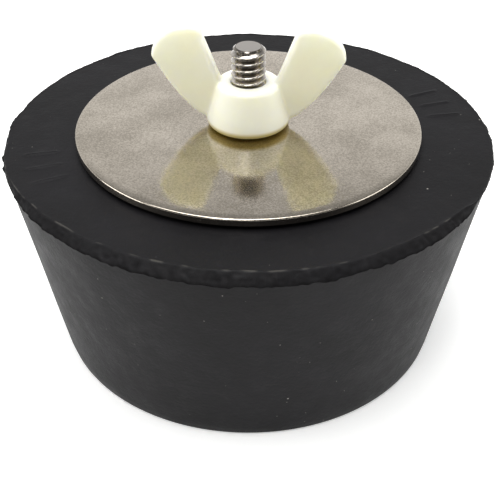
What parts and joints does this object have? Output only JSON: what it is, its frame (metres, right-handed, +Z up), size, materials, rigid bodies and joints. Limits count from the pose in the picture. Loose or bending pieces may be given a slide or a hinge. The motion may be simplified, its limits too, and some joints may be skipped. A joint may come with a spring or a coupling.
{
  "type": "expansion plug",
  "caption": "Tapered black rubber expansion plug, squeezed wider between two steel discs by a wing nut on a carriage bolt.",
  "frame": {"origin": "centre of the small end, on the surface that the plug stands on", "axes": "+Z up along the bolt, towards the wing nut; +X along the wings at rest, within 4 degrees; +Y away from a viewer in front"},
  "size_m": [0.09, 0.09, 0.0617],
  "materials": {
    "black_rubber": "matte moulded natural rubber with trimmed rim",
    "tumbled_steel": "tumbled stainless steel, dull and finely mottled",
    "base_disc_steel": "tumbled stainless steel",
    "bolt_steel": "bright rolled stainless steel",
    "natural_nylon": "natural nylon, creamy and slightly translucent"
  },
  "bodies": {
    "stopper": {"rubber_stopper": "black_rubber", "bottom_disc": "base_disc_steel", "carriage_bolt": "bolt_steel"},
    "press_disc": {"top_disc": "tumbled_steel"},
    "nut": {"wing_nut": "natural_nylon"}
  },
  "joints": [
    {"name": "disc_press", "type": "slide", "parent": "stopper", "child": "press_disc", "axis": [0, 0, 1], "range_m": [-0.0054, 0], "deforming": ["rubber_stopper"]},
    {"name": "nut_turn", "type": "hinge", "parent": "press_disc", "child": "nut", "pos_m": [0, 0, 0.0428], "axis": [0, 0, 1], "range_deg": [-1530, 0]}
  ],
  "couplings": [
    {"joint": "nut_turn", "follows": "disc_press", "rad_per_m": 4947.4}
  ]
}
